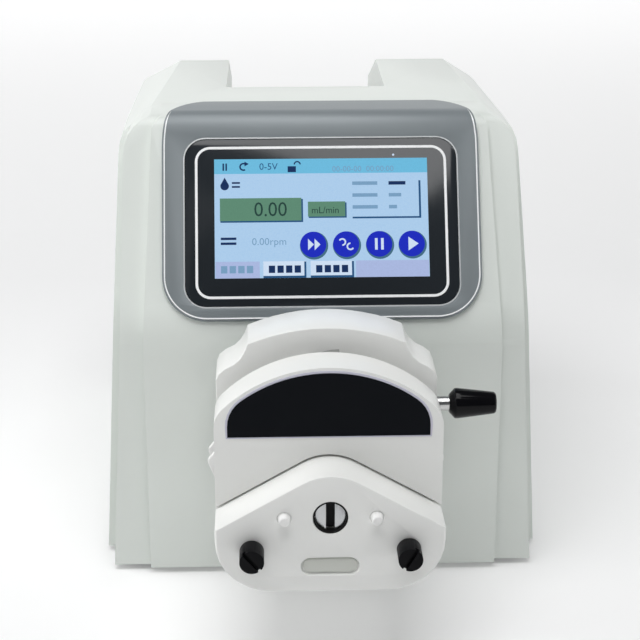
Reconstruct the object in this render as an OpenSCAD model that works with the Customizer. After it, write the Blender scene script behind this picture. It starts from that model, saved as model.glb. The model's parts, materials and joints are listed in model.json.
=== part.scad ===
// Bench peristaltic pump: a drive casing with a sloping display and an easy-load pump head.
// Each sub-part is drawn with the casing's lower front edge at y = 0, z = 0, then placed on its feet.

/* [Casing] */
// Height of the casing from its base plate to its flat top
casing_h = 202.5; // [190:0.5:215]
// Distance from the casing's front face to its rear panel
casing_d = 232; // [210:1:260]
// Half width of the rear shell at the base
rear_half_w = 101.5; // [98:0.5:105]
// Half width of the front shell at the base
front_half_w = 97; // [94:0.5:99]
// Half width of the raised centre panel at the base
panel_half_w = 80; // [77:0.5:84]
// Wall thickness of both shells
wall = 3; // [2:0.5:4]
// Depth of the front shell, from its face to the split line
split_d = 22; // [18:1:28]
// Height of the bend between the upright and the sloping face
bend_z = 117.7; // [112:0.1:122]
// Lean of the display face, back from upright
tilt = 29; // [24:1:34]
// Height of a rubber foot below the base plate
foot_h = 3; // [2:0.5:6]

/* [Hand grip] */
// Sideways offset of the recess from the middle of the casing
grip_x = -5; // [-8:0.5:8]
// Half width of the hand-grip recess in the rear of the top
grip_half_w = 38; // [30:1:44]
// Distance from the casing's front face to the recess
grip_y = 106; // [98:1:120]
// Height of the recess floor
grip_z = 164; // [155:1:175]
// Distance from the front face to where the top starts to fall
top_end_y = 169; // [150:1:175]
// Height of the top's rear edge
rear_top_z = 180; // [174:1:186]
// Half width of the flat top where it starts to fall
shoulder_half_w = 68; // [60:1:76]
// Fall of the sloping shoulders beside the flat top
shoulder_fall = 40; // [30:1:50]

/* [Display] */
// Half width of the metal bezel
bezel_half_w = 70.8; // [66:0.2:74]
// Width of the touch glass
glass_w = 121.8; // [116:0.2:124]
// Height of the touch glass along the slope
glass_l = 76.2; // [72:0.2:78]
// Distance up the slope from the bend to the glass centre
glass_s = 48.2; // [47:0.1:50]
// Width of the lit screen area
lcd_w = 95.04; // [90:0.01:100]
// Height of the lit screen area
lcd_l = 53.86; // [50:0.01:56]

/* [Pump head] */
// Half width of the pump head
head_half_w = 47; // [46:0.5:48]
// Height of the rotor axis above the base plate
axis_z = 68.4; // [67:0.1:70]
// Distance the head's front face stands out from the casing
head_front = 84; // [80:0.5:90]
// Distance the sliding cover's front face stands out from the casing
cover_front = 65.5; // [64:0.5:67]
// Radius of the squeezing bed over the rollers
bed_r = 27.6; // [27.2:0.1:28]
// Radius at which the rollers press the tube
squeeze_r = 25; // [24.6:0.1:25.2]
// Radius of one roller
roller_r = 7; // [6.5:0.1:7.2]
// Number of rollers
roller_n = 3; // [3:1:3]
// Height of the lever axis above the base plate
lever_z = 101; // [100:0.5:102]
// Reach of the lever from its axis to the end of its knob
lever_reach = 71; // [66:1:76]
// Distance the cover rises when the lever is thrown over
lift = 16; // [12:1:16]

/* [Fits] */
// Radial clearance of a shaft that turns in a bore
run_fit = 0.05; // [0.02:0.01:0.08]
// Gap between faces that move past each other
gap = 0.4; // [0.3:0.1:0.6]
// Gap between faces that are fixed beside each other
seat = 0.1; // [0.05:0.05:0.2]

/* [Hidden] */
$fn = 64;

abs_white = [0.86, 0.87, 0.86];
head_grey = [0.74, 0.75, 0.74];
dark = [0.06, 0.06, 0.07];
steel = [0.75, 0.76, 0.78];

// Front face of the casing: an upright stretch, a large bend, the slope and a top corner
bend_r = 40;
top_r = 8;
bend_cz = bend_z - bend_r * tan(tilt / 2);
top_cz = casing_h - top_r;
top_cy = (casing_h - bend_z) * tan(tilt) + top_r * tan((90 - tilt) / 2);
wing_back = 3.5;        // how far the side wings sit behind the centre panel
rim = 2.5;              // thickness of the rear shell's rim against the front shell
bezel_t = 2;            // how far the bezel stands out from the panel
bezel_r = 20;           // corners of the bezel's outline
glass_r = 9.5;          // corners of the glass
shoulder_turn = 4.9;    // how the shoulders close in towards the rear
bezel_end_y = 68;       // where the bezel stops on top of the casing

// Stations along the depth of the pump head, negative in front of the casing
y_rear = -17;           // front face of the back plate
y_chan_b = -40.5;       // rear wall of the lever channel
y_chan_f = -48.5;       // front wall of the lever channel
y_lever = (y_chan_b + y_chan_f) / 2;
head_bottom = 34.7;
roof_z = 90.4;          // where the two roof slopes would meet
roof_r = 22;            // rounding of the ridge
roof_gap = 1.1;
lift_pad_z = 92.7;
pad_foot_z = 81.8;
cam_r = lever_z - lift_pad_z - 0.3;
cam_slope = lift / PI;  // rise for each radian of the lever
knob_out = 10;          // how far a clamp knob stands out of the head
dowel_x = 18.8;
screw_z = [46, 57];     // heights of the screws through the back plate

y_front = -head_front - knob_out;
y_back = casing_d + 2;
y_mid = (y_front + y_back) / 2;

// ---- shapes shared by several sub-parts ----

// Moves the casing's own coordinates to the frame at the centre of the footprint
module place() { translate([0, -y_mid, foot_h]) children(); }

// Extrudes an X-Z outline from y0 to y1
module along_y(y0, y1) { translate([0, y1, 0]) rotate([90, 0, 0]) linear_extrude(y1 - y0) children(); }

// Extrudes a Y-Z outline across X, half to each side
module along_x(half) { rotate([90, 0, 90]) linear_extrude(2 * half, center = true) children(); }

// Round bar or hole along Y
module bar_y(x, z, y0, y1, r) { translate([x, y1, z]) rotate([90, 0, 0]) cylinder(h = y1 - y0, r = r); }

// Local frame on the sloping face: X across, Y up the slope, Z out of the face
module on_slope() { translate([0, 0, bend_z]) rotate([90 - tilt, 0, 0]) children(); }

// Rectangle with true round corners
module round_rect(w, h, r) {
    square([w - 2 * r, h], center = true);
    square([w, h - 2 * r], center = true);
    for (x = [-1, 1], y = [-1, 1])
        translate([x * (w / 2 - r), y * (h / 2 - r)]) circle(r);
}

// Both mirror images of a shape on the +X side
module both_sides() { children(); mirror([1, 0, 0]) children(); }

// Points of the casing's face, set in by i and moved back by dy
function face(i, dy = 0) = concat(
    [for (k = [0:6]) let (a = tilt * k / 6)
        [dy + bend_r - (bend_r - i) * cos(a), bend_cz + (bend_r - i) * sin(a)]],
    [for (k = [0:6]) let (a = tilt + (90 - tilt) * k / 6)
        [dy + top_cy - (top_r - i) * cos(a), top_cz + (top_r - i) * sin(a)]]);

function reversed(p) = [for (k = [len(p) - 1:-1:0]) p[k]];

// Slice of the casing between its face moved back by y0 and by y1
module face_strip(y0, y1) {
    polygon(concat([[y0, 0]], face(0, y0), reversed(face(0, y1)), [[y1, 0]]));
}

// Everything behind the face set in by i, down to z0
module behind_face(i, z0, back) {
    polygon(concat([[i, z0]], face(i), [[back, casing_h - i], [back, z0]]));
}

// Upright X-Z outline with half width w0 at the base, w1 at z1 and rounded shoulders
module shell_outline(w0, w1, z1, w2, r, i = 0) {
    cx = w2 - r;
    cz = casing_h - r;
    right = concat([[w0 - i, -1], [w0 - i, i], [w1 - i, z1], [w2 - i, cz]],
        [for (a = [15:15:90]) [cx + (r - i) * cos(a), cz + (r - i) * sin(a)]]);
    polygon(concat(right, [for (p = reversed(right)) [-p[0], p[1]]]));
}

module wing_outline(i = 0) { shell_outline(front_half_w, 90, 110, 88.5, 16, i); }
module rear_outline(i = 0) { shell_outline(rear_half_w, 94, 120, 92, 20, i); }
module panel_outline(i = 0) { shell_outline(panel_half_w, 79.5, 110, 75.5, 6, i); }

// Arch of radius r over sides at half width w, with rounded corners c, down to z0
function arch(w, r, cz, c) =
    let (kx = w - c, kz = sqrt(pow(r - c, 2) - kx * kx), ka = atan2(kz, kx)) concat(
        [for (k = [0:5]) let (a = ka * k / 5) [kx + c * cos(a), cz + kz + c * sin(a)]],
        [for (k = [1:23]) let (a = ka + (180 - 2 * ka) * k / 24) [r * cos(a), cz + r * sin(a)]],
        [for (k = [0:5]) let (a = 180 - ka + ka * k / 5) [-kx + c * cos(a), cz + kz + c * sin(a)]]);

// Roof line of the lower body from right to left, raised by up
function roof(w, up) = concat([[w, roof_z + up - w * tan(30)]],
    [for (k = [0:10]) let (a = 60 + 6 * k)
        [roof_r * cos(a), roof_z + up - roof_r / cos(30) + roof_r * sin(a)]],
    [[-w, roof_z + up - w * tan(30)]]);

// Bottom of the head's outline from left to right, with large round corners
function belly(w, c) = concat(
    [for (k = [0:8]) let (a = 180 + 90 * k / 8) [-w + c + c * cos(a), head_bottom + c + c * sin(a)]],
    [for (k = [0:8]) let (a = 270 + 90 * k / 8) [w - c + c * cos(a), head_bottom + c + c * sin(a)]]);

// ---- casing ----

// Space inside the front shell's walls, carried straight back
module front_space() {
    intersection() {
        along_x(front_half_w) behind_face(wing_back + wall, -1, casing_d);
        along_y(-1, casing_d) wing_outline(wall);
    }
}

module front_shell() {
    color(abs_white) place() difference() {
        union() {
            intersection() {
                along_x(front_half_w) face_strip(wing_back, split_d);
                along_y(-1, casing_d) wing_outline();
            }
            intersection() {
                along_x(panel_half_w) face_strip(0, split_d);
                along_y(-1, casing_d) panel_outline();
            }
        }
        front_space();
        on_slope() translate([0, glass_s, -12]) linear_extrude(20) round_rect(glass_w - 8, glass_l - 8, 3);
        bar_y(0, axis_z, -5, 20, 28.5);
    }
}

// Space behind the split line inside the rear shell's outline, shrunk by i and by the front rim
module rear_space(i) {
    over = i > 0 ? 1 : 0;
    start = split_d + seat + rim * over;
    difference() {
        intersection() {
            along_x(rear_half_w) polygon(concat([[start, -1]], face(i, start - i),
                [[top_end_y, casing_h - i], [casing_d + over, rear_top_z - i], [casing_d + over, -1]]));
            along_y(0, casing_d + 1) rear_outline(i);
        }
        translate([grip_x - grip_half_w - i, grip_y - i, grip_z - i]) cube([2 * (grip_half_w + i), 200, 80]);
        both_sides() translate([shoulder_half_w, top_end_y, casing_h])
            rotate([0, 0, shoulder_turn]) rotate([0, shoulder_fall, 0])
            translate([-50, -300, -i]) cube([200, 600, 100]);
    }
}

module rear_shell() {
    color(abs_white) place() difference() {
        intersection() {
            rear_space(0);
            translate([-150, 0, 0]) cube([300, 300, 300]);
        }
        rear_space(wall);
        intersection() {
            front_space();
            along_x(front_half_w) face_strip(split_d - 2, split_d + rim + 2);
        }
        for (side = [-1, 1], k = [0:9])
            translate([side * 97 - 10, 120 + 9 * k, 30]) cube([20, 4, 60]);
    }
}

module base_plate() {
    w = front_half_w - wall - 1;
    w_rear = rear_half_w - wall - 1;
    color("silver") place() difference() {
        union() {
            translate([-w, wing_back + wall + 1, 0]) cube([2 * w, casing_d - 10.5 - wing_back - wall, 2]);
            translate([-w_rear, split_d + 4, 0]) cube([2 * w_rear, casing_d - 8.3 - split_d, 2]);
        }
        for (x = [-1, 1], y = [24, 205]) translate([x * 78, y, -1]) cylinder(h = 4, r = 2.1);
        for (x = [-1, 1]) translate([x * 34, 26, -1]) cylinder(h = 4, r = 2.6);
    }
}

module rubber_feet() {
    color(dark) place() for (x = [-1, 1], y = [24, 205]) translate([x * 78, y, -foot_h]) {
        cylinder(h = foot_h, r = 9);
        cylinder(h = foot_h + 4, r = 2);
    }
}

// Its upper corners are rounded as seen from between the slope and the top
module display_bezel() {
    lean = (90 - tilt) / 2;
    bezel_top = bezel_end_y * cos(lean) + (casing_h + bezel_t) * sin(lean) + 0.5;
    color([0.55, 0.58, 0.6]) place() difference() {
        intersection() {
            along_x(bezel_half_w) difference() {
                polygon(concat([[-bezel_t, bend_cz]], face(-bezel_t), [[bezel_end_y, casing_h + bezel_t],
                    [bezel_end_y, casing_h + seat]], reversed(face(-seat)), [[-seat, bend_cz]]));
                translate([-20, 0]) square([60, bend_z]);
            }
            on_slope() translate([0, 0, -100]) linear_extrude(200)
                translate([0, 74]) round_rect(2 * bezel_half_w, 140, bezel_r);
            rotate([lean, 0, 0]) translate([0, 0, -100]) linear_extrude(400)
                translate([0, bezel_top - 100])
                    scale([1, 1.5]) round_rect(2 * bezel_half_w, 200 / 1.5, bezel_r + 2);
        }
        on_slope() translate([0, glass_s, -5]) linear_extrude(10)
            round_rect(glass_w + 0.6, glass_l + 0.6, glass_r + 0.3);
    }
}

module touch_glass() {
    color(dark) place() on_slope() translate([0, glass_s, seat])
        linear_extrude(bezel_t - 0.6) round_rect(glass_w, glass_l, glass_r);
}

module lcd_module() {
    color([0.2, 0.3, 0.4]) place() on_slope() {
        translate([-lcd_w / 2, glass_s + 1.7 - lcd_l / 2, -0.4]) cube([lcd_w, lcd_l, 0.4]);
        translate([-52.8, glass_s - 31, -5]) cube([105.6, 62, 4.6]);
    }
}

module control_board() {
    color([0.1, 0.35, 0.15]) place() on_slope() {
        translate([-55, glass_s - 34, -8.6]) cube([110, 68, 1.6]);
        translate([-20, glass_s - 8, -10.2]) cube([16, 16, 1.6]);
        translate([18, glass_s - 24, -15.6]) cube([28, 10, 7]);
        for (x = [-50, 50], y = [-29, 29]) translate([x, glass_s + y, -7]) cylinder(h = 2, r = 2.5);
    }
}

module motor_bracket() {
    color("silver") place() {
        difference() {
            translate([-44, 8, 2 + seat]) cube([88, 4, 106]);
            bar_y(0, axis_z, 0, 20, 19.2);
            for (x = [-1, 1], z = [-1, 1]) bar_y(x * 23.57, axis_z + z * 23.57, 0, 20, 2.6);
        }
        difference() {
            translate([-44, 12, 2 + seat]) cube([88, 26, 4]);
            for (x = [-1, 1]) translate([x * 34, 26, 0]) cylinder(h = 20, r = 2.6);
        }
        for (x = [-1, 1]) translate([x * 42 - 2, 12, 6]) rotate([90, 0, 90])
            linear_extrude(4) polygon([[0, 0], [26, 0], [0, 60]]);
    }
}

module motor_body() {
    color("#2a2a2d") place() difference() {
        union() {
            along_y(12 + seat, 18) translate([0, axis_z]) round_rect(57, 57, 5);
            along_y(18, 92) translate([0, axis_z]) round_rect(56, 56, 9);
            along_y(92, 98) translate([0, axis_z]) round_rect(57, 57, 5);
            bar_y(0, axis_z, 10, 12.2, 19);
            bar_y(0, axis_z, 98, 124, 16);
        }
        bar_y(0, axis_z, 9, 24, 4 + run_fit);
    }
}

module driver_board() {
    color([0.1, 0.3, 0.16]) place() {
        translate([-86, 60, 8]) cube([1.6, 110, 70]);
        translate([-84.4, 80, 24]) cube([22, 40, 32]);
        for (y = [68, 160], z = [12, 72]) translate([-92, y, z]) rotate([0, 90, 0]) cylinder(h = 6, r = 2.5);
        translate([-92, 64, 2 + seat]) cube([6, 100, 8]);
    }
}

module power_supply() {
    color("#b8babc") place() difference() {
        translate([42, 50, 2 + seat]) cube([48, 130, 38]);
        for (k = [0:9]) translate([40, 60 + 11 * k, 14]) cube([52, 5, 18]);
    }
}

// Openings that the rear panel's fittings pass through
fan_x = -48;
fan_z = 92;
inlet_x = 52;
inlet_z = 40;
switch_z = 80;
fuse_z = 104;
port_x = -48;
port_z = 38;
port_screw_x = 16.65;

module rear_panel() {
    t0 = casing_d - 4;
    color("#c9cbcc") place() difference() {
        intersection() {
            rear_space(wall + 0.3);
            translate([-100, t0, 0.3]) cube([200, 2.5, 200]);
        }
        bar_y(fan_x, fan_z, t0 - 1, casing_d, 18.6);
        for (x = [-1, 1], z = [-1, 1]) bar_y(fan_x + 16 * x, fan_z + 16 * z, t0 - 1, casing_d, 2.2);
        translate([inlet_x - 14.2, t0 - 1, inlet_z - 10.2]) cube([28.4, 5, 20.4]);
        translate([inlet_x - 10.2, t0 - 1, switch_z - 7.2]) cube([20.4, 5, 14.4]);
        translate([inlet_x - 9.2, t0 - 1, fuse_z - 6.2]) cube([18.4, 5, 12.4]);
        translate([port_x - 13.2, t0 - 1, port_z - 5.7]) cube([26.4, 5, 11.4]);
        for (x = [-1, 1]) bar_y(port_x + port_screw_x * x, port_z, t0 - 1, casing_d, 2.4);
    }
}

module casing_screws() {
    color("silver") place() {
        for (x = [-84, 84], z = [12, 150]) bar_y(x, z, casing_d - 1.4, casing_d + 0.4, 2.6);
        for (x = [-1, 1]) translate([x * 34, 26, 0.2]) cylinder(h = 8, r = 2.4);
    }
}

module fan_frame() {
    color(dark) place() difference() {
        along_y(casing_d - 14.1, casing_d - 4.1) translate([fan_x, fan_z]) round_rect(40, 40, 3);
        bar_y(fan_x, fan_z, casing_d - 13.1, casing_d, 18.6);
        difference() {
            bar_y(fan_x, fan_z, casing_d - 15, casing_d - 13, 18.6);
            bar_y(fan_x, fan_z, casing_d - 15, casing_d - 13, 10);
            translate([fan_x - 20, casing_d - 16, fan_z - 1.5]) cube([40, 4, 3]);
            translate([fan_x - 1.5, casing_d - 16, fan_z - 20]) cube([3, 4, 40]);
        }
        for (x = [-1, 1], z = [-1, 1]) bar_y(fan_x + 16 * x, fan_z + 16 * z, casing_d - 15, casing_d, 2.2);
    }
    color("silver") place() bar_y(fan_x, fan_z, casing_d - 13.9, casing_d - 7, 1.5);
}

module fan_impeller() {
    color(dark) place() translate([fan_x, casing_d - 8.5, fan_z]) difference() {
        union() {
            rotate([90, 0, 0]) cylinder(h = 7.4, r = 10, center = true);
            for (k = [0:6]) rotate([0, 360 / 7 * k, 0])
                translate([9, -0.5, 0]) rotate([35, 0, 0]) translate([0, -0.6, -3.2]) cube([8.6, 1.2, 6.4]);
        }
        translate([0, 2, 0]) rotate([90, 0, 0]) cylinder(h = 10, r = 1.5 + run_fit);
    }
}

module fan_guard() {
    color("silver") place() {
        for (r = [6, 11, 16]) along_y(casing_d - 1.4, casing_d + 0.6)
            translate([fan_x, fan_z]) difference() { circle(r + 0.8); circle(r - 0.8); }
        for (a = [45, 135]) translate([fan_x, casing_d - 0.4, fan_z]) rotate([0, a, 0])
            difference() {
                cube([48, 1.6, 2.4], center = true);
                rotate([90, 0, 0]) cylinder(h = 3, r = 6.8, center = true);
            }
    }
}

module power_inlet() {
    t = casing_d - 1.4;
    color(dark) place() difference() {
        union() {
            along_y(t, t + 2.4) translate([inlet_x, inlet_z]) round_rect(49, 24, 3);
            along_y(t - 26, t + 0.2) translate([inlet_x, inlet_z]) round_rect(28, 20, 2);
        }
        along_y(t - 17, t + 3) translate([inlet_x, inlet_z])
            polygon([[-12, -8.3], [12, -8.3], [12, 4], [7.7, 8.3], [-7.7, 8.3], [-12, 4]]);
        for (x = [-1, 1]) bar_y(inlet_x + 20 * x, inlet_z, t - 1, t + 3, 1.7);
    }
    color("gold") place() for (p = [[-7, -1], [0, 2.4], [7, -1]])
        translate([inlet_x + p[0] - 1, t - 17.4, inlet_z + p[1] - 2]) cube([2, 14, 4]);
}

module fuse_drawer() {
    t = casing_d - 1.4;
    color("#1b1b1e") place() {
        along_y(t + 0.3, t + 2.4) translate([inlet_x, fuse_z]) round_rect(22, 15, 2);
        translate([inlet_x - 8.6, t - 22, fuse_z - 5.6]) cube([17.2, 22.5, 11.2]);
        translate([inlet_x - 4, t + 2, fuse_z - 4]) cube([8, 1.4, 2]);
    }
}

module switch_frame() {
    t = casing_d - 1.4;
    color(dark) place() difference() {
        union() {
            along_y(t, t + 1.6) translate([inlet_x, switch_z]) round_rect(25, 18, 2);
            translate([inlet_x - 10, t - 16, switch_z - 7]) cube([20, 16.2, 14]);
        }
        translate([inlet_x - 8.6, t - 11, switch_z - 5.6]) cube([17.2, 14, 11.2]);
        translate([inlet_x, t - 3, switch_z]) rotate([90, 0, 0]) rotate([0, 90, 0])
            cylinder(h = 18.6, r = 1.2 + run_fit, center = true);
    }
}

// Rocker resting on its off side: two flat faces that meet at a shallow angle
module switch_rocker() {
    t = casing_d - 1.4;
    color("#c33") place() translate([inlet_x, t - 3, switch_z]) {
        translate([-8.1, 0, 0]) rotate([8, 0, 0]) rotate([90, 0, 90]) linear_extrude(16.2)
            polygon([[-3, -4.6], [3.9, -5], [2.9, 0], [3.9, 5], [-3, 4.6], [-5, 0]]);
        rotate([0, 90, 0]) cylinder(h = 18.2, r = 1.2, center = true);
    }
}

module control_port() {
    t = casing_d - 1.4;
    color("silver") place() {
        difference() {
            union() {
                along_y(t, t + 1) translate([port_x, port_z]) round_rect(39.2, 12.5, 1.5);
                along_y(t - 9, t + 3.4) translate([port_x, port_z]) round_rect(25.6, 10.6, 3);
            }
            along_y(t + 0.6, t + 4) translate([port_x, port_z]) round_rect(24.4, 9.4, 2.6);
        }
        difference() {
            along_y(t, t + 2.6) translate([port_x, port_z]) round_rect(24.2, 9.2, 2.6);
            for (k = [0:7]) bar_y(port_x + (k - 3.5) * 2.76, port_z + 1.4, t + 0.5, t + 3, 0.6);
            for (k = [0:6]) bar_y(port_x + (k - 3) * 2.76, port_z - 1.4, t + 0.5, t + 3, 0.6);
        }
        for (x = [-1, 1]) bar_y(port_x + port_screw_x * x, port_z, t - 2, t + 3.4, 2.2);
    }
}

// ---- pump head, fixed to the casing ----

module mount_flange() {
    color("#3a3c3f") place() difference() {
        union() {
            bar_y(0, axis_z, y_rear + 6, 8 - seat, 28);
            bar_y(0, axis_z, -8, -1, 34);
        }
        bar_y(0, axis_z, -20, 20, 14);
    }
}

module head_back_plate() {
    color(head_grey) place() difference() {
        along_y(y_rear, y_rear + 6 - seat)
            polygon(concat(belly(46, 20), [[46, 84], [36, 98], [-36, 98], [-46, 84]]));
        bar_y(0, axis_z, y_rear - 1, y_rear + 7, 13 + run_fit);
        for (x = [-1, 1], z = screw_z) bar_y(x * 36, z, y_rear - 1, y_rear + 7, 2.1);
    }
}

module lower_front_body() {
    color(head_grey) place() difference() {
        along_y(-head_front, y_chan_b - 0.2) polygon(concat(roof(head_half_w, 0), belly(head_half_w, 23)));
        bar_y(0, axis_z, -head_front - 1, y_chan_b, 5.6);
        bar_y(0, axis_z, -head_front - 1, -head_front + 6, 7.2);
        bar_y(0, axis_z, y_chan_b - 8.4, y_chan_b, 12 + run_fit);
        along_y(-head_front - 1, -head_front + 1.6) translate([0, 46.3]) round_rect(24, 8, 3.98);
        for (x = [-1, 1]) {
            bar_y(x * dowel_x, axis_z, -head_front - 1, -head_front + 10, 2.75);
            bar_y(x * 32, 54, -head_front - 1, -head_front + 14, 4 + run_fit);
            translate([x * 38, -57, 50]) cylinder(h = 40, r = 3 + run_fit);
        }
        translate([-8.2, y_chan_f + 0.4, pad_foot_z - 0.2]) cube([16.4, 20, 20]);
    }
}

module lower_rear_body() {
    color(head_grey) place() difference() {
        along_y(y_chan_b, y_rear - 0.1) polygon(concat([[46.5, 61], [-46.5, 61]], belly(46.5, 23)));
        bar_y(0, axis_z, y_chan_b - 1, y_rear + 1, 27);
        both_sides() translate([42.7, -35.2, 59.6]) cube([10, 14.4, 10]);
        for (x = [-1, 1], z = screw_z) bar_y(x * 36, z, y_rear - 13, y_rear + 1, 2.1);
    }
}

module lift_pad() {
    color(steel) place() translate([-8, y_chan_f + 0.6, pad_foot_z]) cube([16, 7, lift_pad_z - pad_foot_z]);
}

module guide_posts() {
    color(steel) place() for (x = [-1, 1]) translate([x * 38, -57, 50.2]) cylinder(h = 50, r = 3);
}

module front_bearing() {
    color(steel) place() along_y(y_chan_b - 8.2, y_chan_b - 0.4) translate([0, axis_z])
        difference() { circle(12); circle(5 + run_fit); }
}

module rear_bearing() {
    color(steel) place() along_y(y_rear + 0.1, y_rear + 7.9) translate([0, axis_z])
        difference() { circle(13); circle(5 + run_fit); }
}

module shaft_seal() {
    color(dark) place() along_y(-head_front + 0.3, -head_front + 3.8) translate([0, axis_z])
        difference() { circle(7.1); circle(6.5); }
}

// Spring dowels that locate a second head stacked in front of this one
module stack_dowels() {
    color("#e8e8e6") place() for (x = [-1, 1]) {
        bar_y(x * dowel_x, axis_z, -head_front, -head_front + 9.8, 2.7);
        bar_y(x * dowel_x, axis_z, -head_front - 3, -head_front + 0.1, 2.25);
        translate([x * dowel_x, -head_front - 3, axis_z]) rotate([90, 0, 0])
            cylinder(h = 0.6, r1 = 2.25, r2 = 1.65);
    }
}

module head_screws() {
    color("#303134") place() for (x = [-1, 1], z = screw_z) difference() {
        union() {
            bar_y(x * 36, z, y_rear - 12, y_rear + 6, 2);
            bar_y(x * 36, z, y_rear + 5.95, y_rear + 8.5, 3.4);
        }
        bar_y(x * 36, z, y_rear + 7, y_rear + 9, 1.5);
    }
}

// ---- pump head, sliding upper block ----

module upper_cover() {
    color(head_grey) place() difference() {
        along_y(-cover_front, y_chan_f) polygon(concat(arch(head_half_w, 62, 64.5, 12),
            reversed(roof(head_half_w, roof_gap))));
        bar_y(0, lever_z, y_chan_f - 8, y_chan_f + 1, 4 + run_fit);
        for (x = [-1, 1]) translate([x * 38, -57, 50]) cylinder(h = 51.5, r = 3 + run_fit);
    }
}

module upper_bridge() {
    color("#4a4c50") place() both_sides()
        along_y(y_chan_f, y_chan_b) polygon([[26.5, roof_z + 1.2 - 26.5 * tan(30)],
            [46, roof_z + 1.2 - 46 * tan(30)], [46, 97], [26.5, 97]]);
}

module press_block() {
    shoulder = [[46.5, 77], [46.5, 111], [45.4, 113.8], [42.5, 116.2], [38.8, 118.1], [36.2, 120.6],
        [34.4, 123.6]];
    hump = [for (k = [0:12]) let (a = 66.7 + 46.6 * k / 12) [83.5 * cos(a), 50.5 + 83.5 * sin(a)]];
    color(head_grey) place() difference() {
        along_y(y_chan_b + 0.01, y_rear - 0.35) difference() {
            polygon(concat([[26, 77]], shoulder, hump,
                [for (p = reversed(shoulder)) [-p[0], p[1]]], [[-26, 77]]));
            translate([0, axis_z]) circle(bed_r);
        }
        both_sides() translate([42.4, -35.6, 70]) cube([10, 15.2, 10]);
        bar_y(0, lever_z, y_chan_b - 1, y_chan_b + 8, 4 + run_fit);
    }
}

// Dark printed plate let into the cover's face
module label_plate() {
    color(dark) place() along_y(-cover_front - 0.5, -cover_front - 0.02)
        polygon(concat(arch(41.5, 60, 64.2, 14), [[-41.5, 96.4], [41.5, 96.4]]));
}

// ---- rotor ----

module rotor_shaft() {
    color(steel) place() difference() {
        union() {
            bar_y(0, axis_z, -head_front + 5, 2, 5);
            bar_y(0, axis_z, -head_front + 1.6, -head_front + 5.6, 6.35);
        }
        translate([-1.8, -head_front, axis_z - 7]) cube([3.6, 4.6, 14]);
    }
}

module drive_coupling() {
    color("#8d8f92") place() {
        along_y(-7, 2.2) translate([0, axis_z]) difference() { circle(10); circle(5.03); }
        bar_y(0, axis_z, 2.1, 6, 10);
        bar_y(0, axis_z, 2.1, 22, 4);
    }
}

// Disc that carries the roller pins
module rotor_disc(y0, y1) {
    color("#5b5d60") place() along_y(y0, y1) translate([0, axis_z]) difference() {
        circle(22.5);
        circle(5.02);
        for (k = [0:roller_n - 1]) rotate(90 + 360 / roller_n * k)
            translate([squeeze_r - roller_r, 0]) circle(2.02);
    }
}

module rotor_disc_front() { rotor_disc(y_chan_b + 0.6, y_chan_b + 3.4); }
module rotor_disc_rear() { rotor_disc(y_rear - 3.4, y_rear - 0.6); }

module at_roller(k) {
    rotate([0, -(90 + 360 / roller_n * k), 0]) translate([squeeze_r - roller_r, 0, 0]) children();
}

module roller_pins() {
    color(steel) place() translate([0, 0, axis_z]) for (k = [0:roller_n - 1])
        at_roller(k) bar_y(0, 0, y_chan_b + 0.7, y_rear - 0.7, 2);
}

module roller(k) {
    color("#dcdcd8") place() translate([0, 0, axis_z]) at_roller(k)
        along_y(y_chan_b + 3.8, y_rear - 3.8) difference() { circle(roller_r); circle(2 + run_fit); }
}

module roller_1() { roller(0); }
module roller_2() { roller(1); }
module roller_3() { roller(2); }

// ---- lever ----

module lever_axle() {
    color(steel) place() bar_y(0, lever_z, y_chan_f - 7.5, y_chan_b + 7.5, 4);
}

// Flat-follower cam: its lowest point drops in step with the lever's turn
module lever_cam() {
    involute = [for (k = [0:24]) let (t = 7.5 * k, h = cam_r + lift * t / 180)
        [-h * sin(t) - cam_slope * cos(t), -h * cos(t) + cam_slope * sin(t)]];
    color(steel) place() difference() {
        union() {
            along_y(y_lever - 2.6, y_lever + 2.6) translate([0, lever_z])
                polygon(concat(involute, [[6, 0], [2, 0.5 - cam_r]]));
            bar_y(0, lever_z, y_lever - 2.6, y_lever + 2.6, cam_r);
        }
        bar_y(0, lever_z, y_chan_f, y_chan_b, 4.02);
    }
}

module lever_rod() {
    color(steel) place() translate([cam_r + 0.05, y_lever, lever_z]) rotate([0, 90, 0])
        cylinder(h = lever_reach - cam_r - 2, r = 3);
}

module lever_knob() {
    color(dark) place() translate([0, y_lever, lever_z]) rotate([0, 90, 0]) rotate_extrude()
        polygon([[3.03, lever_reach - 19.8], [3.8, lever_reach - 19.8], [6.4, lever_reach - 17.4],
            [6.4, lever_reach - 16], [4.6, lever_reach - 0.8], [3.9, lever_reach], [0, lever_reach],
            [0, lever_reach - 1.8], [3.03, lever_reach - 1.8]]);
}

// ---- tube clamps ----

// Slotted catch that lifts the tube against the sliding block
module tube_clamp() {
    color("#ececea") place() difference() {
        along_y(-34.8, -21.2)
            polygon([[43.1, 60], [47, 60], [50.9, 70], [50.9, 71.8], [47.3, 76], [43.1, 76]]);
        translate([40, -32.5, 66]) cube([20, 9, 20]);
    }
}

module tube_clamp_right() { tube_clamp(); }
module tube_clamp_left() { mirror([1, 0, 0]) tube_clamp(); }

// Its slot is turned by a from level
module clamp_knob(x, a) {
    color(dark) place() difference() {
        union() {
            bar_y(x, 54, -head_front - knob_out, -head_front - gap, 5);
            bar_y(x, 54, -head_front - gap - 0.1, -head_front + 13, 4);
        }
        translate([x, -head_front - knob_out - 1, 54]) rotate([0, a, 0])
            translate([-6, 0, -0.8]) cube([12, 3, 1.6]);
    }
}

module clamp_knob_right() { clamp_knob(32, -60); }
module clamp_knob_left() { clamp_knob(-32, 50); }

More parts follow.
